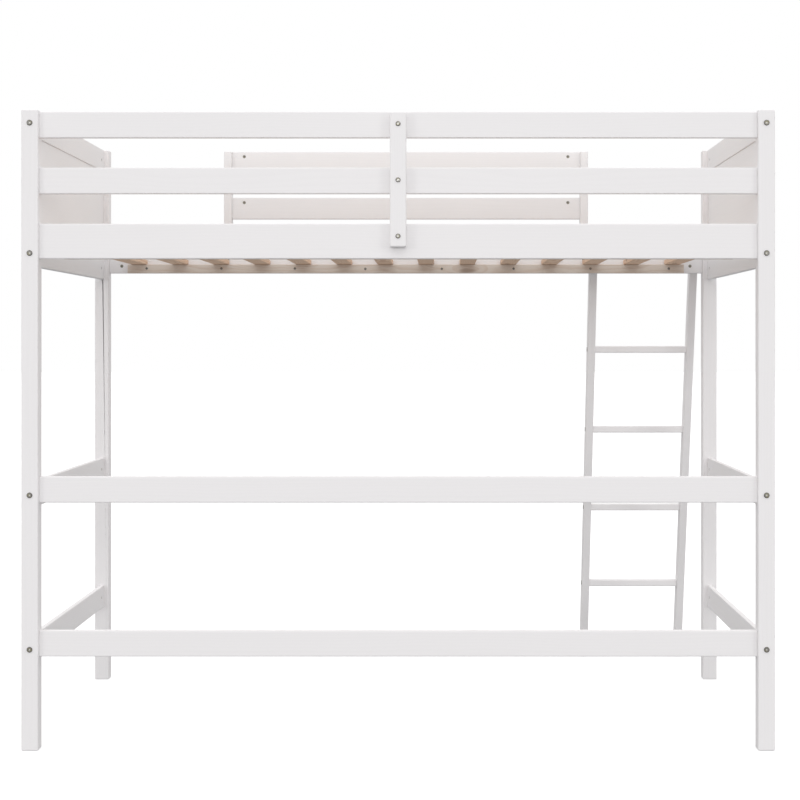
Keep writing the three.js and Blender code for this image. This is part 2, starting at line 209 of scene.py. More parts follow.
class HardwareSettings(PropertyGroup):
    head_diameter: FloatProperty(
        name="Head diameter", description="Diameter of a bolt's flat head",
        default=15 * MM, min=8 * MM, unit="LENGTH",
    )
    head_height: FloatProperty(
        name="Head height", description="Height of a bolt's head over its seat",
        default=2.6 * MM, min=1 * MM, unit="LENGTH",
    )
    socket: FloatProperty(
        name="Socket", description="Width across the flats of the hexagon socket",
        default=4.6 * MM, min=1 * MM, unit="LENGTH",
    )
    shank: FloatProperty(
        name="Shank", description="Diameter of a bolt's shank",
        default=6 * MM, min=2 * MM, unit="LENGTH",
    )
    nut_diameter: FloatProperty(
        name="Barrel nut", description="Diameter of a barrel nut",
        default=10 * MM, min=8 * MM, unit="LENGTH",
    )
    slot: FloatProperty(
        name="Slot", description="Width of the screwdriver slot across a barrel nut",
        default=1.7 * MM, min=0.5 * MM, unit="LENGTH",
    )
    screw_head: FloatProperty(
        name="Screw head", description="Diameter of a wood screw's head",
        default=8 * MM, min=4 * MM, unit="LENGTH",
    )


class StudioSettings(PropertyGroup):
    floor: FloatVectorProperty(
        name="Floor", description="Colour of the floor",
        subtype="COLOR", default=(0.50, 0.50, 0.50), min=0, max=1,
    )
    floor_glow: FloatProperty(
        name="Floor glow",
        description="Light that the floor gives of its own, which keeps its shadows faint",
        default=0.58, min=0,
    )
    backdrop: FloatProperty(
        name="Backdrop", description="Brightness of the white room as it is seen",
        default=1.0, min=0,
    )
    sky: FloatProperty(
        name="Sky", description="Brightness of the light that comes from the room's walls",
        default=0.76, min=0,
    )
    overhead: FloatProperty(
        name="Overhead", description="Brightness of the light that comes from the ceiling",
        default=1.30, min=0,
    )
    ground: FloatProperty(
        name="Ground", description="Brightness of the light that comes up from the floor",
        default=0.40, min=0,
    )
    side_light: FloatProperty(
        name="Side lights", description="Power of each of the two soft lights beside the camera",
        default=205.0, min=0, unit="POWER",
    )
    front_light: FloatProperty(
        name="Front light", description="Power of the soft light behind the camera",
        default=300.0, min=0, unit="POWER",
    )


class LoftBedSettings(PropertyGroup):
    lacquer: PointerProperty(type=LacquerSettings)
    pine: PointerProperty(type=PineSettings)
    plating: PointerProperty(type=PlatingSettings)
    hardware: PointerProperty(type=HardwareSettings)
    studio: PointerProperty(type=StudioSettings)


def settings():
    return bpy.context.scene.loft_bed


# ---- nodes of a material ----


class Nodes:
    """The nodes of one tree. Values that are sockets are linked, and others are set."""

    def __init__(self, tree):
        self.tree = tree

    def add(self, kind, values=None, **options):
        node = self.tree.nodes.new(kind)
        for option, value in options.items():
            setattr(node, option, value)
        for key, value in (values or {}).items():
            if isinstance(value, bpy.types.NodeSocket):
                self.tree.links.new(value, node.inputs[key])
            else:
                node.inputs[key].default_value = value
        return node

    def math(self, operation, *values):
        numbered = dict(enumerate(values))
        return self.add("ShaderNodeMath", numbered, operation=operation).outputs[0]

    def vector(self, operation, *values):
        numbered = dict(enumerate(values))
        node = self.add("ShaderNodeVectorMath", numbered, operation=operation)
        return node.outputs["Value" if operation in ("LENGTH", "DOT_PRODUCT") else "Vector"]

    def between(self, value, low, high, start=0.0, end=1.0):
        """Takes low and high to start and end, with a smooth run between them."""
        numbers = {
            "Value": value,
            "From Min": low,
            "From Max": high,
            "To Min": start,
            "To Max": end,
        }
        node = self.add("ShaderNodeMapRange", numbers, interpolation_type="SMOOTHSTEP")
        return node.outputs["Result"]

    def total(self, base, *parts):
        """A base amount, and each part times its weight on top."""
        for part, weight in parts:
            base = self.math("MULTIPLY_ADD", part, weight, base)
        return base


class Recipe(Nodes):
    """The nodes of one material."""

    def __init__(self, name):
        self.material = bpy.data.materials.new(name)
        self.material.use_nodes = True
        super().__init__(self.material.node_tree)
        self.tree.nodes.clear()

    def own(self, name):
        """A property of the piece that wears the material."""
        node = self.add("ShaderNodeAttribute", attribute_type="OBJECT", attribute_name=name)
        return node.outputs["Vector"]

    def noise(self, place, scale, detail=2.0, roughness=0.5):
        values = {"Vector": place, "Scale": scale, "Detail": detail, "Roughness": roughness}
        return self.add("ShaderNodeTexNoise", values).outputs["Fac"]

    def scale(self, vector, factor):
        node = self.add("ShaderNodeVectorMath", {0: vector, "Scale": factor}, operation="SCALE")
        return node.outputs["Vector"]

    def blend(self, share, first, second):
        """The first colour where share is 0, and the second where it is 1."""
        node = self.add("ShaderNodeMix", data_type="RGBA")
        sockets = {socket.identifier: socket for socket in node.inputs}
        self.tree.links.new(share, sockets["Factor_Float"])
        for socket, colour in ((sockets["A_Color"], first), (sockets["B_Color"], second)):
            if isinstance(colour, bpy.types.NodeSocket):
                self.tree.links.new(colour, socket)
            else:
                socket.default_value = (*colour, 1.0)
        return next(s for s in node.outputs if s.identifier == "Result_Color")

    def surface(self, colour, roughness, height, relief, metal=0.0, **more):
        bump = self.add("ShaderNodeBump", {"Height": height, "Distance": relief, "Strength": 1.0})
        values = {
            "Base Color": colour,
            "Roughness": roughness,
            "Normal": bump.outputs["Normal"],
            "Metallic": metal,
            **more,
        }
        shader = self.add("ShaderNodeBsdfPrincipled", values)
        output = self.add("ShaderNodeOutputMaterial")
        self.tree.links.new(shader.outputs["BSDF"], output.inputs["Surface"])
        return self.material


def timber_place(recipe, grain):
    """A point of the board with its fibres along X."""
    place = recipe.add("ShaderNodeTexCoord").outputs["Object"]
    turn = recipe.add("ShaderNodeMapping", {"Vector": place, "Rotation": GRAIN_TURNS[grain]})
    return turn.outputs["Vector"]


def growth_rings(recipe, place, spacing, wander):
    """Late wood as 1 and early wood as 0, in wandering rings round the heart of the tree."""
    slow = recipe.vector("MULTIPLY", place, (1.1, 4.0, 4.0))
    noise = recipe.add("ShaderNodeTexNoise", {"Vector": slow, "Scale": 1.6, "Detail": 3.0})
    shift = recipe.vector("SUBTRACT", noise.outputs["Color"], (0.5, 0.5, 0.5))
    moved = recipe.vector("ADD", place, recipe.scale(shift, wander))
    across = recipe.vector("MULTIPLY", moved, (0.0, 1.0, 1.0))
    turns = recipe.math("DIVIDE", recipe.vector("LENGTH", across), spacing)
    part = recipe.math("FRACT", turns)
    rise = recipe.between(part, *RING_RISE)
    fall = recipe.between(part, *RING_FALL, 1.0, 0.0)
    return recipe.math("MULTIPLY", rise, fall)


def arris(recipe, turned, width):
    """1 along the edges of a board and 0 on its faces, from the board's own box."""
    from_low = recipe.vector("SUBTRACT", turned, recipe.own("timber_low"))
    from_high = recipe.vector("SUBTRACT", recipe.own("timber_high"), turned)
    near = recipe.vector("MINIMUM", from_low, from_high)
    parts = recipe.add("ShaderNodeSeparateXYZ", {"Vector": near}).outputs
    least = recipe.math("MINIMUM", parts["X"], parts["Y"])
    most = recipe.math("MAXIMUM", parts["X"], parts["Y"])
    second = recipe.math("MAXIMUM", least, recipe.math("MINIMUM", most, parts["Z"]))
    return recipe.between(second, 0.15 * width, width, 1.0, 0.0)


def lacquer(name, grain):
    """White satin lacquer over sanded pine, whose fibres and rings just show."""
    chosen = settings().lacquer
    recipe = Recipe(name)
    turned = timber_place(recipe, grain)
    place = recipe.vector("SUBTRACT", turned, recipe.own("heart"))
    rings = growth_rings(recipe, place, 6.5 * MM, 0.03)
    streaks = recipe.vector("MULTIPLY", place, (16.0, 520.0, 520.0))
    fibres = recipe.noise(streaks, 1.0, 4.0, 0.6)
    clouds = recipe.noise(place, 3.2, 3.0)
    spray = recipe.noise(turned, 420.0, 2.0)
    edge = arris(recipe, turned, chosen.arris_width)
    patches = recipe.between(recipe.noise(turned, 24.0, 4.0, 0.65), 0.42, 0.66)
    sunk = recipe.total(0.0, (rings, 0.22), (fibres, 0.35), (clouds, 0.30))
    colour = recipe.blend(sunk, chosen.white, chosen.shade)
    rubbed = recipe.math("MULTIPLY", edge, recipe.total(0.20, (patches, 0.45)))
    colour = recipe.blend(rubbed, colour, chosen.arris)
    tone = recipe.vector("MULTIPLY", colour, recipe.own("tone"))
    gloss = recipe.total(0.34, (fibres, 0.12), (clouds, 0.10), (rubbed, 0.25))
    height = recipe.total(0.0, (fibres, 0.9), (rings, -0.5), (spray, 0.35))
    return recipe.surface(tone, gloss, height, chosen.relief, IOR=1.48)


def bare_pine(name, grain):
    """Planed pine with no finish: growth rings, fibres, resin flecks and knots."""
    chosen = settings().pine
    recipe = Recipe(name)
    turned = timber_place(recipe, grain)
    place = recipe.vector("SUBTRACT", turned, recipe.own("heart"))
    stretched = recipe.vector("MULTIPLY", place, (4.2, 13.0, 13.0))
    cells = recipe.add("ShaderNodeTexVoronoi", {"Vector": stretched, "Scale": 1.0})
    nearness = cells.outputs["Distance"]
    knot = recipe.between(nearness, 0.075, 0.15, 1.0, 0.0)
    swirl = recipe.between(nearness, 0.08, 0.42, 1.0, 0.0)
    bulge = recipe.add("ShaderNodeCombineXYZ", {"Y": recipe.math("MULTIPLY", swirl, 0.009)})
    rings = growth_rings(
        recipe,
        recipe.vector("ADD", place, bulge.outputs["Vector"]),
        chosen.ring_spacing,
        0.045,
    )
    streaks = recipe.vector("MULTIPLY", place, (20.0, 800.0, 800.0))
    fibres = recipe.noise(streaks, 1.0, 5.0, 0.62)
    flecks = recipe.noise(recipe.vector("MULTIPLY", place, (90.0, 1900.0, 1900.0)), 1.0, 1.0)
    fleck = recipe.between(flecks, 0.68, 0.76)
    clouds = recipe.noise(place, 5.0, 3.0)
    late = recipe.total(-0.12, (rings, 0.62), (fibres, 0.30), (clouds, 0.16))
    late = recipe.math("MULTIPLY", late, recipe.own("figure"))
    knot = recipe.math("MULTIPLY", knot, recipe.own("figure"))
    colour = recipe.blend(late, chosen.early, chosen.late)
    colour = recipe.blend(recipe.math("MULTIPLY", fleck, 0.35), colour, chosen.late)
    colour = recipe.blend(recipe.math("MULTIPLY", knot, 0.85), colour, chosen.knot)
    gloss = recipe.total(0.66, (rings, -0.14), (fibres, 0.12), (knot, -0.18))
    height = recipe.total(0.0, (fibres, 0.8), (rings, 0.5), (fleck, -0.5))
    colour = recipe.vector("MULTIPLY", colour, recipe.own("tone"))
    return recipe.surface(colour, gloss, height, 0.18 * MM, IOR=1.45)


def plated_steel():
    """Zinc plating with a yellow cast in places and turning marks, with painted shade in a dark
    ring over the rim and in the middle of nuts and screws, and a painted highlight on the floor of
    a bolt's socket.
    """
    chosen = settings().plating
    recipe = Recipe(PLATED)
    place = recipe.add("ShaderNodeTexCoord").outputs["Object"]
    offset = recipe.vector("SUBTRACT", place, recipe.own("seat"))
    axis = recipe.own("axis")
    along = recipe.vector("DOT_PRODUCT", offset, axis)
    flat = recipe.vector("SUBTRACT", offset, recipe.scale(axis, along))
    radius = recipe.vector("LENGTH", flat)
    shifted = recipe.vector("ADD", place, recipe.own("tint"))
    patches = recipe.between(recipe.noise(shifted, 260.0, 3.0), 0.40, 0.68)
    scratches = recipe.noise(place, 2600.0, 3.0, 0.7)
    marks = recipe.math("SINE", recipe.math("MULTIPLY", radius, 2 * math.pi / (0.32 * MM)))
    # The middle round the axis: a painted highlight on a bolt's socket floor, painted shade in the
    # middle of a nut's or screw's face.
    floor = recipe.between(radius, 1.6 * MM, 2.3 * MM, 0.9, 0.0)
    bright = recipe.math("MULTIPLY", floor, recipe.own("rubbed"))
    # Painted shade: a dark ring over the rounded rim, where its reflection is dark.
    rim = recipe.between(radius, 4.6 * MM, 6.6 * MM, 0.0, 0.7)
    rim = recipe.math("MAXIMUM", rim, recipe.math("SUBTRACT", floor, bright))
    colour = recipe.blend(patches, chosen.zinc, chosen.yellow)
    colour = recipe.blend(recipe.total(rim, (scratches, 0.10)), colour, chosen.dark)
    # Painted highlight: the glint on the floor of a bolt's socket.
    colour = recipe.blend(bright, colour, chosen.rubbed)
    gloss = recipe.total(0.30, (patches, 0.12), (scratches, 0.16))
    height = recipe.total(scratches, (marks, 0.25))
    return recipe.surface(colour, gloss, height, 0.012 * MM, metal=0.9)


PLATED = "zinc_plated_steel"
TIMBER_FINISHES = {"lacquer": ("white_lacquer", lacquer), "pine": ("bare_pine", bare_pine)}


def finish(kind, grain=None):
    """The material for a kind of finish, made when it is first asked for."""
    if kind == "plating":
        return bpy.data.materials.get(PLATED) or plated_steel()
    word, make = TIMBER_FINISHES[kind]
    name = f"{word}_{grain}"
    return bpy.data.materials.get(name) or make(name, grain)


# ---- boards of the frame ----


def soften(board, width, grain=None):
    """Rounds arrises a little, without touching the piece's own mesh.

    With a grain, only the arrises that run along it are rounded, because the ends butt.
    """
    weld = board.modifiers.new("joined_faces", "WELD")
    weld.merge_threshold = WELD_DISTANCE
    flat = board.modifiers.new("flat_faces", "DECIMATE")
    flat.decimate_type = "DISSOLVE"
    flat.angle_limit = FLAT_ANGLE
    if grain:
        mark = board.modifiers.new("long_arrises", "NODES")
        mark.node_group = long_arrises(grain)
    round_over = board.modifiers.new("sanded_arris", "BEVEL")
    round_over.width = width
    round_over.segments = 2
    round_over.limit_method = "WEIGHT" if grain else "ANGLE"
    round_over.angle_limit = ARRIS_ANGLE
    round_over.use_clamp_overlap = False
    smooth = board.modifiers.new("smooth", "NODES")
    smooth.node_group = smooth_faces()
    normals = board.modifiers.new("face_normals", "WEIGHTED_NORMAL")
    normals.keep_sharp = True


def geometry_steps(name):
    """A new tree of geometry nodes, with the socket it starts from and the one it ends in."""
    tree = bpy.data.node_groups.new(name, "GeometryNodeTree")
    for way in ("INPUT", "OUTPUT"):
        tree.interface.new_socket("Geometry", in_out=way, socket_type="NodeSocketGeometry")
    start = tree.nodes.new("NodeGroupInput").outputs[0]
    return Nodes(tree), start, tree.nodes.new("NodeGroupOutput").inputs[0]


def steeper_than(steps, angle):
    """Which edges have their two faces at more than an angle to each other."""
    fold = steps.add("GeometryNodeInputMeshEdgeAngle").outputs["Unsigned Angle"]
    return steps.math("GREATER_THAN", fold, angle)


def smooth_faces():
    """Geometry nodes that shade every face smooth, and leave the sharp edges sharp."""
    name = "smooth_faces"
    if name in bpy.data.node_groups:
        return bpy.data.node_groups[name]
    steps, start, end = geometry_steps(name)
    shade = steps.add("GeometryNodeSetShadeSmooth", {"Geometry": start})
    creases = {
        "Geometry": shade.outputs[0],
        "Selection": steeper_than(steps, SHARP_ANGLE),
        "Shade Smooth": False,
    }
    crease = steps.add("GeometryNodeSetShadeSmooth", creases, domain="EDGE")
    steps.tree.links.new(crease.outputs[0], end)
    return steps.tree


def long_arrises(grain):
    """Geometry nodes that mark the arrises along a grain for rounding."""
    name = f"long_arrises_{grain}"
    if name in bpy.data.node_groups:
        return bpy.data.node_groups[name]
    steps, start, end = geometry_steps(name)
    fibre = Euler(GRAIN_TURNS[grain]).to_matrix().transposed() @ Vector((1, 0, 0))
    ends = steps.add("GeometryNodeInputMeshEdgeVertices").outputs
    run = steps.vector("SUBTRACT", ends["Position 1"], ends["Position 2"])
    along = steps.vector("DOT_PRODUCT", steps.vector("NORMALIZE", run), fibre)
    level = steps.math("GREATER_THAN", steps.math("ABSOLUTE", along), ALONG_GRAIN)
    marked = {
        "Geometry": start,
        "Name": "bevel_weight_edge",
        "Value": steps.math("MULTIPLY", level, steeper_than(steps, ARRIS_ANGLE)),
    }
    kind = "GeometryNodeStoreNamedAttribute"
    store = steps.add(kind, marked, data_type="FLOAT", domain="EDGE")
    steps.tree.links.new(store.outputs[0], end)
    return steps.tree


def measure_timber(board, grain, rng):
    """Tells the board's material where the board's faces and the heart of its tree are."""
    turn = Euler(GRAIN_TURNS[grain]).to_matrix()
    corners = [turn @ vertex.co for vertex in board.data.vertices]
    low = Vector([min(corner[k] for corner in corners) for k in range(3)])
    high = Vector([max(corner[k] for corner in corners) for k in range(3)])
    angle = rng.uniform(0, 2 * math.pi)
    away = rng.uniform(35, 90) * MM
    heart = (low + high) / 2 + Vector((rng.uniform(-3, 3), 0, 0))
    heart += away * Vector((0, math.cos(angle), math.sin(angle)))
    board["timber_low"] = list(low)
    board["timber_high"] = list(high)
    board["heart"] = list(heart)


def dress_board(name, kind, grain, arris_width, tone=(1.0, 1.0, 1.0), figure=1.0):
    """Gives a board its finish. Tone tints it, and figure is how strongly its rings show."""
    board = NODES[name]
    board.material_slots[0].material = finish(kind, grain)
    measure_timber(board, grain, random.Random(name))
    board["tone"] = list(tone)
    board["figure"] = [figure] * 3
    butts = any(word in name for word in BUTTED)
    soften(board, arris_width, grain if butts else None)


def boards_named(*endings):
    return sorted(name for name in NODES if name.endswith(endings))


# ---- turned pieces ----


def outline(shape, size, height, arm=0.0):
    """One loop round the axis: round, hexagonal, or a cross.

    Size is from the axis to the loop's side. For a cross it is half the width of an arm, and
    arm is how far each arm reaches.
    """
    loop = []
    for i in range(AROUND):
        angle = 2 * math.pi * i / AROUND
        if shape == "round":
            reach = size
        elif shape == "hexagon":
            sixth = math.pi / 3
            reach = size / math.cos((angle + sixth / 2) % sixth - sixth / 2)
        else:
            quarter = math.pi / 2
            lean = abs((angle + quarter / 2) % quarter - quarter / 2)
            reach = arm if lean < 1e-6 else min(arm, size / math.sin(lean))
        loop.append(Vector((reach * math.cos(angle), reach * math.sin(angle), height)))
    return loop


def as_mesh(name, mesh):
    """Turns a mesh being worked on into one that a piece can wear."""
    made = bpy.data.meshes.new(name)
    mesh.to_mesh(made)
    mesh.free()
    return made


def turned_mesh(name, tip, loops, floor):
    """Closes loops into a solid, from a point at height tip to a point at height floor."""
    mesh = bmesh.new()
    rows = [[mesh.verts.new(point) for point in loop] for loop in loops]
    first = mesh.verts.new((0, 0, tip))
    last = mesh.verts.new((0, 0, floor))
    for i in range(AROUND):
        j = (i + 1) % AROUND
        mesh.faces.new((first, rows[0][j], rows[0][i]))
        for lower, upper in zip(rows, rows[1:]):
            mesh.faces.new((lower[i], lower[j], upper[j], upper[i]))
        mesh.faces.new((rows[-1][i], rows[-1][j], last))
    bmesh.ops.recalc_face_normals(mesh, faces=mesh.faces)
    made = as_mesh(name, mesh)
    made.set_sharp_from_angle(angle=TURNED_SHARP_ANGLE)
    return made


def head_loops(radius, top, edge, socket_floor):
    """Loops over a flat head with a rounded rim, and down its hexagon socket."""
    flats = settings().hardware.socket / 2
    loops = [outline("round", radius - 0.3 * MM, 0), outline("round", radius, 0.3 * MM)]
    for i in range(RIM_STEPS + 1):
        angle = math.pi / 2 * i / RIM_STEPS
        reach = radius - edge + edge * math.cos(angle)
        loops.append(outline("round", reach, top - edge + edge * math.sin(angle)))
    return loops + [
        outline("hexagon", flats + SOCKET_LIP, top),
        outline("hexagon", flats, top - SOCKET_LIP),
        outline("hexagon", flats, socket_floor),
    ]


def bolt_mesh(length, low_head=False):
    """A flat-headed bolt with a hexagon socket, seated at the origin with its head facing +Z.

    Its profile runs from the tip over the thread, the neck and the head, down into the socket.
    """
    chosen = settings().hardware
    name = f"{'low' if low_head else 'flat'}_head_bolt_{round(length / MM)}"
    if name in bpy.data.meshes:
        return bpy.data.meshes[name]
    shank = chosen.shank / 2
    top = LOW_HEAD if low_head else chosen.head_height
    loops = [
        outline("round", shank - 1.0 * MM, -length),
        outline("round", shank, 1.0 * MM - length),
    ]
    loops += thread_loops(shank, 2.0 * MM - length, min(-8 * MM, -0.4 * length))
    loops += [
        outline("round", shank, -0.6 * MM),
        outline("round", shank + 0.4 * MM, 0),
    ]
    edge = min(1.2 * MM, top - 0.4 * MM)
    loops += head_loops(chosen.head_diameter / 2, top, edge, top - SOCKET_DEPTH)
    return turned_mesh(name, -length, loops, top - SOCKET_POINT)


def thread_loops(radius, start, end, pitch=1.0 * MM, depth=0.45 * MM):
    """Loops of a thread's crests and roots along a shank."""
    loops = []
    height = start
    while height + pitch < end:
        loops.append(outline("round", radius, height))
        loops.append(outline("round", radius - depth, height + pitch / 2))
        height += pitch
    return loops


def screw_mesh():
    """A wood screw with a low raised head and a cross recess, seated at the origin."""
    name = "wood_screw"
    if name in bpy.data.meshes:
        return bpy.data.meshes[name]
    head = settings().hardware.screw_head / 2
    root = 1.4 * MM
    thread = 0.7 * MM
    loops = [outline("round", 0.3 * MM, -SCREW), outline("round", root, 4 * MM - SCREW)]
    loops += thread_loops(root + thread, 4.6 * MM - SCREW, -9 * MM, 1.9 * MM, thread)
    loops += [
        outline("round", root, -7 * MM),
        outline("round", root, -2.6 * MM),
        outline("round", head, -0.1 * MM),
        outline("round", head, 0.25 * MM),
        outline("round", 0.86 * head, 0.75 * MM),
        outline("round", 0.68 * head, 1.05 * MM),
        outline("cross", 0.48 * MM, 1.2 * MM, 2.3 * MM),
        outline("cross", 0.34 * MM, 0.55 * MM, 1.7 * MM),
        outline("cross", 0.22 * MM, -0.3 * MM, 0.8 * MM),
    ]
    return turned_mesh(name, -SCREW - 0.4 * MM, loops, -0.45 * MM)


def block(low, high):
    """A box as a mesh, for cutting with."""
    mesh = bmesh.new()
    bmesh.ops.create_cube(mesh, size=1.0)
    size = Vector(high) - Vector(low)
    middle = (Vector(high) + Vector(low)) / 2
    fit = Matrix.Translation(middle) @ Matrix.Diagonal((*size, 1))
    bmesh.ops.transform(mesh, matrix=fit, verts=mesh.verts)
    return as_mesh("cutter", mesh)


def rod(radius, centre_height, reach):
    """A rod along X as a mesh, for cutting with."""
    mesh = bmesh.new()
    bmesh.ops.create_cone(
        mesh, cap_ends=True, segments=32, radius1=radius, radius2=radius, depth=2 * reach
    )
    turn = Matrix.Translation((0, 0, centre_height)) @ Matrix.Rotation(math.pi / 2, 4, "Y")
    bmesh.ops.transform(mesh, matrix=turn, verts=mesh.verts)
    return as_mesh("cutter", mesh)


def carve(mesh, cutters):
    """The mesh with the cutters taken out of it."""
    scene = bpy.context.scene
    blank = bpy.data.objects.new("blank", mesh)
    scene.collection.objects.link(blank)
    tools = []
    for cutter in cutters:
        tool = bpy.data.objects.new("cutter", cutter)
        scene.collection.objects.link(tool)
        step = blank.modifiers.new("cut", "BOOLEAN")
        step.operation = "DIFFERENCE"
        step.solver = "EXACT"
        step.object = tool
        tools.append(tool)
    bpy.context.view_layer.update()
    graph = bpy.context.evaluated_depsgraph_get()
    made = bpy.data.meshes.new_from_object(blank.evaluated_get(graph))
    for thing in (blank, *tools):
        data = thing.data
        bpy.data.objects.remove(thing)
        bpy.data.meshes.remove(data)
    return made


def barrel_nut_mesh(length, bolt_depth):
    """A slotted barrel nut, with its face at the origin, facing +Z.

    Its slot and its bore run along X.
    """
    name = f"barrel_nut_{round(length / MM * 10)}_{round(bolt_depth / MM * 10)}"
    if name in bpy.data.meshes:
        return bpy.data.meshes[name]
    chosen = settings().hardware
    radius = chosen.nut_diameter / 2
    chamfer = 0.5 * MM
    loops = [
        outline("round", radius - chamfer, -length),
        outline("round", radius, chamfer - length),
        outline("round", radius, -chamfer),
        outline("round", radius - chamfer, 0),
    ]
    blank = turned_mesh("nut_blank", -length, loops, 0)
    half_slot = chosen.slot / 2
    slot = block((-2 * radius, -half_slot, -1.3 * MM), (2 * radius, half_slot, 1 * MM))
    bore = rod(chosen.shank / 2 + BORE_PLAY, -bolt_depth, 2 * radius)
    made = carve(blank, [slot, bore])
    made.name = name
    made.set_sharp_from_angle(angle=TURNED_SHARP_ANGLE)
    return made


def nut_in_bore(bore, to_bolt):
    """A barrel nut for a bore of a depth, with the bolt a distance under the wood's face."""
    return barrel_nut_mesh(bore - NUT_RECESS - NUT_END_ROOM, to_bolt - NUT_RECESS)


def sleeve_nut_mesh():
    """A flat-headed sleeve nut with a hexagon socket, seated at the origin and facing +Z."""
    name = "sleeve_nut"
    if name in bpy.data.meshes:
        return bpy.data.meshes[name]
    chosen = settings().hardware
    outside = chosen.shank / 2 + 0.6 * MM
    inside = chosen.shank / 2 + BORE_PLAY
    loops = [
        outline("round", inside, -0.3 * MM),
        outline("round", inside, -SLEEVE_NUT),
        outline("round", outside, -SLEEVE_NUT),
        outline("round", outside, 0),
    ]
    loops += head_loops(6.5 * MM, 2.0 * MM, 1.0 * MM, 0.5 * MM)
    return turned_mesh(name, -0.3 * MM, loops, 0.4 * MM)


def fasten(name, mesh, seat, facing, run=None, spin=0.0, tint=0.0):
    """Puts a fastening with its seat at a point and its head facing a way.

    Run is the way its slot points, and tint shifts the patches of its plating.
    """
    facing = Vector(facing).normalized()
    if run is None:
        run = Vector((0, 0, 1)) if abs(facing.z) < 0.5 else Vector((1, 0, 0))
    run = Vector(run).normalized()
    side = facing.cross(run)
    turn = Matrix((run, side, facing)).transposed().to_4x4()
    piece = bpy.data.objects.new(name, mesh)
    piece.matrix_world = Matrix.Translation(seat) @ turn @ Matrix.Rotation(spin, 4, "Z")
    bpy.context.scene.collection.objects.link(piece)
    if not mesh.materials:
        mesh.materials.append(finish("plating"))
    piece["seat"] = [0.0, 0.0, 0.0]
    piece["axis"] = [0.0, 0.0, 1.0]
    piece["tint"] = [tint, 0.0, 0.0]
    # Bolts get a painted highlight on their socket floor, the other pieces painted shade in their
    # middle.
    piece["rubbed"] = [1.0 if "bolt" in mesh.name else 0.0] * 3
    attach(piece, BODY)
    return piece


def centre(name):
    low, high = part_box(name)
    return (low + high) / 2


def rail_levels(name):
    """Heights of the bolts in the ends of a front or guard board, or of a side rail."""
    low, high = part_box(name)
    if "side_rail" in name:
        quarter = (high.z - low.z) / 4
        return [low.z + quarter, high.z - quarter]
    return [high.z - BOLT_DROP]


FRONT_BOARDS = (
    "front_top_rail",
    "front_middle_rail",
    "front_side_rail",
    "front_upper_stretcher",
    "front_lower_stretcher",
)
GUARD_BOARDS = ("guard_top_board", "guard_lower_board")
END_BOARDS = ("top_rail", "bed_rail", "upper_stretcher", "lower_stretcher")
SIDES = (("left", -1), ("right", 1))
SLATS = sorted(name for name in NODES if name.startswith("slat"))


def outer_side(low, high, way):
    """Where the side of a box that faces out of the bed is, along X."""
    return high.x if way > 0 else low.x


# ---- operators ----


class LOFTBED_OT_boards(Operator):
    """Lacquers the posts, rails, panels, guard and ladder, and takes back their arrises"""

    bl_idname = "loft_bed.boards"
    bl_label = "Lacquered boards"

    def execute(self, context):
        upright = boards_named("_post", "_upright", "_batten")
        leaning = boards_named("_stile")
        deep = [name for name in NODES if name.startswith(("left_end", "right_end"))]
        bare = ("slat", "ledger", "bolt")
        for name in sorted(name for name in NODES if not any(word in name for word in bare)):
            grain = "long"
            if name in upright:
                grain = "upright"
            elif name in leaning:
                grain = "leaning"
            elif name in deep:
                grain = "deep"
            kind = "panel" if "panel" in name else "timber"
            # Painted light: the upper boards get a cooler tint that offsets the warm bounce from
            # the slats.
            bounce_lit = any(word in name for word in BOUNCE_LIT_BOARDS)
            tone = BOUNCE_COOLING_TONE if bounce_lit else (1.0, 1.0, 1.0)
            dress_board(name, "lacquer", grain, ARRISES[kind], tone)
        return {"FINISHED"}


class LOFTBED_OT_ledgers(Operator):
    """Gives the two ledgers under the slats the look of pale bare pine"""

    bl_idname = "loft_bed.ledgers"
    bl_label = "Pine ledgers"

    def execute(self, context):
        for name in boards_named("_ledger"):
            dress_board(name, "pine", "long", ARRISES["ledger"], LEDGER_TONE, LEDGER_FIGURE)
        return {"FINISHED"}


class LOFTBED_OT_slats(Operator):
    """Gives each slat the look of bare planed pine, cut from its own part of a tree"""

    bl_idname = "loft_bed.slats"
    bl_label = "Pine slats"

    def execute(self, context):
        for name in SLATS:
            dress_board(name, "pine", "deep", ARRISES["slat"])
        return {"FINISHED"}


class LOFTBED_OT_frame_bolts(Operator):
    """Plates the bolts that are part of the frame"""

    bl_idname = "loft_bed.frame_bolts"
    bl_label = "Frame bolts"

    def execute(self, context):
        bolts = sorted(name for name in NODES if "bolt" in name)
        if not bolts:
            raise RuntimeError("the frame has no bolts")
        for i, name in enumerate(bolts):
            bolt = NODES[name]
            low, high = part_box(name)
            bolt.material_slots[0].material = finish("plating")
            bolt["seat"] = [(low.x + high.x) / 2, low.y, (low.z + high.z) / 2]
            bolt["axis"] = [0.0, -1.0, 0.0]
            bolt["tint"] = [0.1 * i, 0.0, 0.0]
            # A painted highlight on the floor of the socket.
            bolt["rubbed"] = [1.0] * 3
            soften(bolt, ARRISES["bolt"])
        return {"FINISHED"}


class LOFTBED_OT_rear_post_bolts(Operator):
    """Bolts the rear posts to the end boards"""

    bl_idname = "loft_bed.rear_post_bolts"
    bl_label = "Rear post bolts"

    def execute(self, context):
        rng = random.Random(11)
        for side, _ in SIDES:
            low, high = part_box(f"rear_{side}_post")
            mesh = bolt_mesh(POST_BOLT)
            for i, board in enumerate(END_BOARDS, 1):
                level = centre(f"{side}_end_{board}").z
                seat = Vector(((low.x + high.x) / 2, high.y, level))
                spin = rng.uniform(0, math.pi)
                name = f"rear_{side}_post_bolt_{i}"
                fasten(name, mesh, seat, (0, 1, 0), spin=spin, tint=0.1 * i)
        return {"FINISHED"}


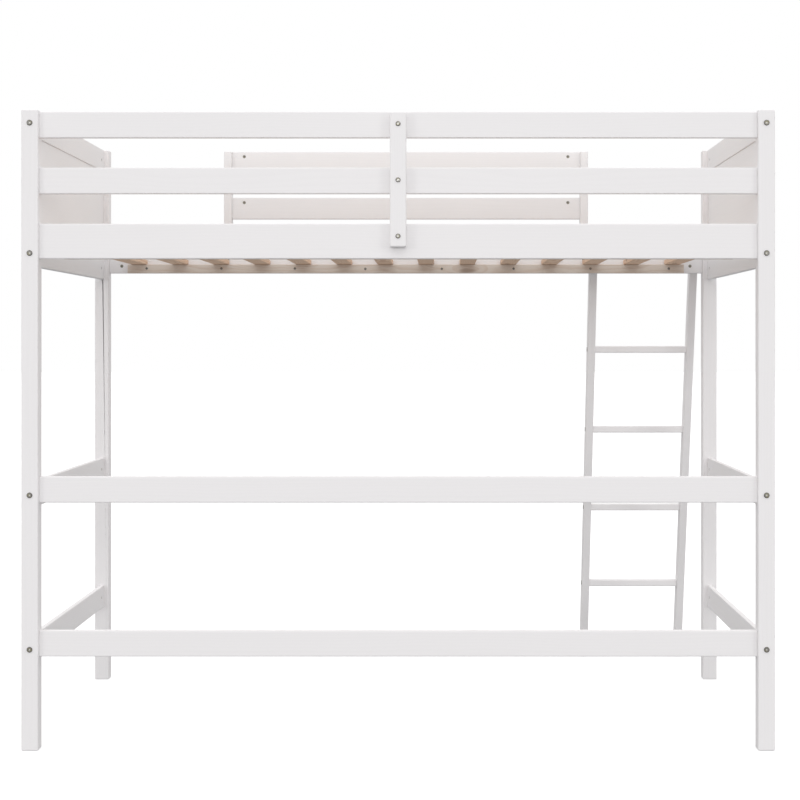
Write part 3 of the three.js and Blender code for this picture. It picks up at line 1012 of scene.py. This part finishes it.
class LOFTBED_OT_side_bolts(Operator):
    """Bolts the posts to the long rails from the outer sides"""

    bl_idname = "loft_bed.side_bolts"
    bl_label = "Side bolts"

    def execute(self, context):
        rng = random.Random(12)
        rows = (("front", FRONT_BOARDS), ("rear", ("rear_side_rail",)))
        for row, boards in rows:
            for side, way in SIDES:
                low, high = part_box(f"{row}_{side}_post")
                outer = outer_side(low, high, way)
                levels = sorted(z for board in boards for z in rail_levels(board))
                for i, level in enumerate(levels, 1):
                    seat = Vector((outer, (low.y + high.y) / 2, level))
                    spin = rng.uniform(0, math.pi)
                    name = f"{row}_{side}_side_bolt_{i}"
                    fasten(name, bolt_mesh(POST_BOLT), seat, (way, 0, 0), spin=spin, tint=0.13 * i)
        return {"FINISHED"}


class LOFTBED_OT_guard_bolts(Operator):
    """Bolts the guard's uprights to its boards and to the rear side rail"""

    bl_idname = "loft_bed.guard_bolts"
    bl_label = "Guard bolts"

    def execute(self, context):
        rng = random.Random(13)
        rail_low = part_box("rear_side_rail")[0]
        for side, way in SIDES:
            low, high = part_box(f"guard_{side}_upright")
            outer = outer_side(low, high, way)
            middle = (low + high) / 2
            for i, board in enumerate(GUARD_BOARDS, 1):
                seat = Vector((outer, middle.y, rail_levels(board)[0]))
                spin = rng.uniform(0, math.pi)
                mesh = bolt_mesh(GUARD_BOLT, low_head=True)
                fasten(f"guard_{side}_bolt_{i}", mesh, seat, (way, 0, 0), spin=spin)
            for i, rise in enumerate(UPRIGHT_BOLT_RISES, 1):
                seat = Vector((middle.x, rail_low.y, rail_low.z + rise))
                spin = rng.uniform(0, math.pi)
                name = f"upright_{side}_bolt_{i}"
                fasten(name, bolt_mesh(UPRIGHT_BOLT), seat, (0, -1, 0), spin=spin, tint=0.2)
        return {"FINISHED"}


class LOFTBED_OT_rung_bolts(Operator):
    """Bolts the ladder's stiles to its rungs"""

    bl_idname = "loft_bed.rung_bolts"
    bl_label = "Rung bolts"

    def execute(self, context):
        rng = random.Random(14)
        for side, way in SIDES:
            low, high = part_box(f"ladder_{side}_stile")
            outer = outer_side(low, high, way)
            for i in range(1, 5):
                rung = centre(f"ladder_rung_{i}")
                seat = Vector((outer, rung.y, rung.z))
                spin = rng.uniform(0, math.pi)
                mesh = bolt_mesh(RUNG_BOLT, low_head=True)
                fasten(f"rung_{side}_bolt_{i}", mesh, seat, (way, 0, 0), spin=spin)
        return {"FINISHED"}


class LOFTBED_OT_batten_nuts(Operator):
    """Puts sleeve nuts behind the front rails, on the batten's bolts"""

    bl_idname = "loft_bed.batten_nuts"
    bl_label = "Batten nuts"

    def execute(self, context):
        boards = ("front_top_rail", "front_middle_rail", "front_side_rail")
        for i, board in enumerate(boards, 1):
            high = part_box(board)[1]
            bolt = centre(f"batten_bolt_{i}")
            seat = Vector((bolt.x, high.y, bolt.z))
            fasten(f"batten_nut_{i}", sleeve_nut_mesh(), seat, (0, 1, 0), spin=0.3 * i)
        return {"FINISHED"}


class LOFTBED_OT_rail_nuts(Operator):
    """Puts barrel nuts in the long rails and the guard's boards"""

    bl_idname = "loft_bed.rail_nuts"
    bl_label = "Rail nuts"

    def execute(self, context):
        rows = [(board, 1) for board in FRONT_BOARDS] + [("rear_side_rail", -1)]
        rows += [(board, -1) for board in GUARD_BOARDS]
        for board, face in rows:
            low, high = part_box(board)
            depth = high.y - low.y
            mesh = nut_in_bore(depth - RAIL_FLOOR, depth / 2)
            y = (high.y if face > 0 else low.y) - face * NUT_RECESS
            for side, way in SIDES:
                x = high.x - NUT_SET_BACK if way > 0 else low.x + NUT_SET_BACK
                for i, level in enumerate(rail_levels(board), 1):
                    name = f"{board}_{side}_nut_{i}"
                    fasten(name, mesh, Vector((x, y, level)), (0, face, 0), run=(1, 0, 0))
        return {"FINISHED"}


class LOFTBED_OT_end_nuts(Operator):
    """Puts barrel nuts in the end boards, front and rear"""

    bl_idname = "loft_bed.end_nuts"
    bl_label = "End nuts"

    def execute(self, context):
        for side, way in SIDES:
            for board in END_BOARDS:
                low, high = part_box(f"{side}_end_{board}")
                depth = high.x - low.x
                mesh = nut_in_bore(depth - RAIL_FLOOR, depth / 2)
                x = (low.x if way > 0 else high.x) + way * NUT_RECESS
                level = (low.z + high.z) / 2
                for end, y in (("front", low.y + NUT_SET_BACK), ("rear", high.y - NUT_SET_BACK)):
                    name = f"{side}_end_{board}_{end}_nut"
                    fasten(name, mesh, Vector((x, y, level)), (-way, 0, 0), run=(0, 1, 0))
        return {"FINISHED"}


class LOFTBED_OT_upright_nuts(Operator):
    """Puts barrel nuts in the sides of the guard's uprights and of the ladder's stiles"""

    bl_idname = "loft_bed.upright_nuts"
    bl_label = "Upright nuts"

    def execute(self, context):
        rail_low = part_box("rear_side_rail")[0]
        for side, way in SIDES:
            low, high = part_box(f"guard_{side}_upright")
            outer = outer_side(low, high, way)
            mesh = nut_in_bore(UPRIGHT_SIDE_DEPTH, (high.x - low.x) / 2)
            for i, rise in enumerate(UPRIGHT_BOLT_RISES, 1):
                seat = Vector((outer - way * NUT_RECESS, (low.y + high.y) / 2, rail_low.z + rise))
                fasten(f"guard_{side}_upright_nut_{i}", mesh, seat, (way, 0, 0), run=(0, 1, 0))
            stile_low, stile_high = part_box(f"ladder_{side}_stile")
            outer = outer_side(stile_low, stile_high, way)
            level = centre(f"ladder_{side}_bolt").z
            seat = Vector((outer - way * NUT_RECESS, stile_low.y + STILE_NUT_INSET, level))
            fasten(f"ladder_{side}_nut", mesh, seat, (way, 0, 0), run=(0, 1, 0))
        return {"FINISHED"}


class LOFTBED_OT_ledger_screws(Operator):
    """Screws the ledgers to the side rails"""

    bl_idname = "loft_bed.ledger_screws"
    bl_label = "Ledger screws"

    def execute(self, context):
        rng = random.Random(15)
        for row, face in (("front", 1), ("rear", -1)):
            low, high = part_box(f"{row}_ledger")
            y = high.y if face > 0 else low.y
            for i, along in enumerate(LEDGER_SCREW_PLACES, 1):
                level = low.z + LEDGER_SCREW_RISE + rng.uniform(-1, 1) * MM
                spin = rng.uniform(0, math.pi / 2)
                seat = Vector((along * MM, y, level))
                name = f"{row}_ledger_screw_{i}"
                fasten(name, screw_mesh(), seat, (0, face, 0), spin=spin, tint=0.2)
        return {"FINISHED"}


class LOFTBED_OT_slat_screws(Operator):
    """Screws each slat down to both ledgers"""

    bl_idname = "loft_bed.slat_screws"
    bl_label = "Slat screws"

    def execute(self, context):
        rng = random.Random(16)
        for slat in SLATS:
            low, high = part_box(slat)
            rows = (("front", low.y + SLAT_SCREW_INSET), ("rear", high.y - SLAT_SCREW_INSET))
            for row, y in rows:
                x = (low.x + high.x) / 2 + rng.uniform(-1.5, 1.5) * MM
                spin = rng.uniform(0, math.pi / 2)
                name = f"{slat}_{row}_screw"
                fasten(name, screw_mesh(), Vector((x, y, high.z)), (0, 0, 1), spin=spin, tint=0.3)
        return {"FINISHED"}


class LOFTBED_OT_stage(Operator):
    """Lays a pale floor, and sets the soft lights and the camera"""

    bl_idname = "loft_bed.stage"
    bl_label = "Stage"

    def execute(self, context):
        chosen = settings().studio
        context.scene.view_settings.view_transform = "Standard"
        self.floor(context, chosen)
        self.room(context, chosen)
        for name, spot, size, power in LIGHTS:
            self.soft_light(context, name, spot, size, getattr(chosen, power))
        self.camera(context)
        return {"FINISHED"}

    def floor(self, context, chosen):
        mesh = bmesh.new()
        bmesh.ops.create_grid(mesh, x_segments=1, y_segments=1, size=FLOOR_REACH)
        made = as_mesh("floor", mesh)
        floor = bpy.data.objects.new("floor", made)
        floor.location.z = -FLOOR_DROP
        floor.visible_diffuse = False
        floor.visible_glossy = False
        floor.visible_shadow = False
        context.scene.collection.objects.link(floor)
        recipe = Recipe("pale_floor")
        place = recipe.add("ShaderNodeTexCoord").outputs["Object"]
        mottle = recipe.noise(place, 1.4, 3.0)
        paler = tuple(min(1.0, 1.02 * c) for c in chosen.floor)
        colour = recipe.blend(mottle, chosen.floor, paler)
        fine = recipe.noise(place, 90.0, 2.0)
        glow = {"Emission Color": (1, 1, 1, 1), "Emission Strength": chosen.floor_glow}
        rough = recipe.total(0.9, (fine, 0.05))
        made.materials.append(recipe.surface(colour, rough, fine, 0.1 * MM, **glow))

    def room(self, context, chosen):
        world = bpy.data.worlds.new("white_room")
        world.use_nodes = True
        nodes = Nodes(world.node_tree)
        way = nodes.add("ShaderNodeTexCoord").outputs["Generated"]
        height = nodes.add("ShaderNodeSeparateXYZ", {0: way}).outputs["Z"]
        low = nodes.between(height, *GROUND_BAND, chosen.ground, chosen.sky)
        high = nodes.between(height, *CEILING_BAND, 1.0, chosen.overhead / chosen.sky)
        choice = {
            "Factor": nodes.add("ShaderNodeLightPath").outputs["Is Camera Ray"],
            "A": nodes.math("MULTIPLY", low, high),
            "B": chosen.backdrop,
        }
        seen = nodes.add("ShaderNodeMix", choice).outputs["Result"]
        nodes.tree.links.new(seen, nodes.tree.nodes["Background"].inputs["Color"])
        context.scene.world = world

    def soft_light(self, context, name, spot, size, power):
        light = bpy.data.lights.new(name, "AREA")
        light.shape = "SQUARE"
        light.size = size
        light.energy = power
        lamp = bpy.data.objects.new(name, light)
        lamp.location = spot
        aim = Vector(LIGHT_TARGET) - Vector(spot)
        lamp.rotation_euler = aim.to_track_quat("-Z", "Y").to_euler()
        lamp.visible_camera = False
        context.scene.collection.objects.link(lamp)

    def camera(self, context):
        lens = bpy.data.cameras.new("camera")
        lens.lens = CAMERA_LENS
        lens.shift_x, lens.shift_y = CAMERA_SHIFT
        lens.clip_end = VIEW_DEPTH
        camera = bpy.data.objects.new("camera", lens)
        camera.location = CAMERA_PLACE
        camera.rotation_euler = (math.pi / 2, 0, 0)
        context.scene.collection.objects.link(camera)
        context.scene.camera = camera


OPERATORS = (
    LOFTBED_OT_stage,
    LOFTBED_OT_boards,
    LOFTBED_OT_ledgers,
    LOFTBED_OT_slats,
    LOFTBED_OT_frame_bolts,
    LOFTBED_OT_rear_post_bolts,
    LOFTBED_OT_side_bolts,
    LOFTBED_OT_guard_bolts,
    LOFTBED_OT_rung_bolts,
    LOFTBED_OT_batten_nuts,
    LOFTBED_OT_rail_nuts,
    LOFTBED_OT_end_nuts,
    LOFTBED_OT_upright_nuts,
    LOFTBED_OT_ledger_screws,
    LOFTBED_OT_slat_screws,
)


class LOFTBED_PT_sidebar(Panel):
    bl_idname = "LOFTBED_PT_sidebar"
    bl_label = "Loft bed"
    bl_space_type = "VIEW_3D"
    bl_region_type = "UI"
    bl_category = "Loft bed"

    def draw(self, context):
        layout = self.layout
        chosen = context.scene.loft_bed
        for group in chosen.bl_rna.properties:
            if group.identifier in ("rna_type", "name"):
                continue
            box = layout.box()
            box.label(text=group.identifier.capitalize())
            values = getattr(chosen, group.identifier)
            for value in values.bl_rna.properties:
                if value.identifier not in ("rna_type", "name"):
                    box.prop(values, value.identifier)
        for operator in OPERATORS:
            layout.operator(operator.bl_idname)


SETTINGS = (
    LacquerSettings,
    PineSettings,
    PlatingSettings,
    HardwareSettings,
    StudioSettings,
    LoftBedSettings,
)
CLASSES = (*SETTINGS, *OPERATORS, LOFTBED_PT_sidebar)


def register():
    for made in CLASSES:
        bpy.utils.register_class(made)
    bpy.types.Scene.loft_bed = PointerProperty(type=LoftBedSettings)


def unregister():
    del bpy.types.Scene.loft_bed
    for made in reversed(CLASSES):
        bpy.utils.unregister_class(made)


def main():
    register()
    for operator in OPERATORS:
        name = operator.bl_idname.split(".")[1]
        getattr(bpy.ops.loft_bed, name)()
    bpy.context.view_layer.update()


if __name__ == "__main__":
    main()
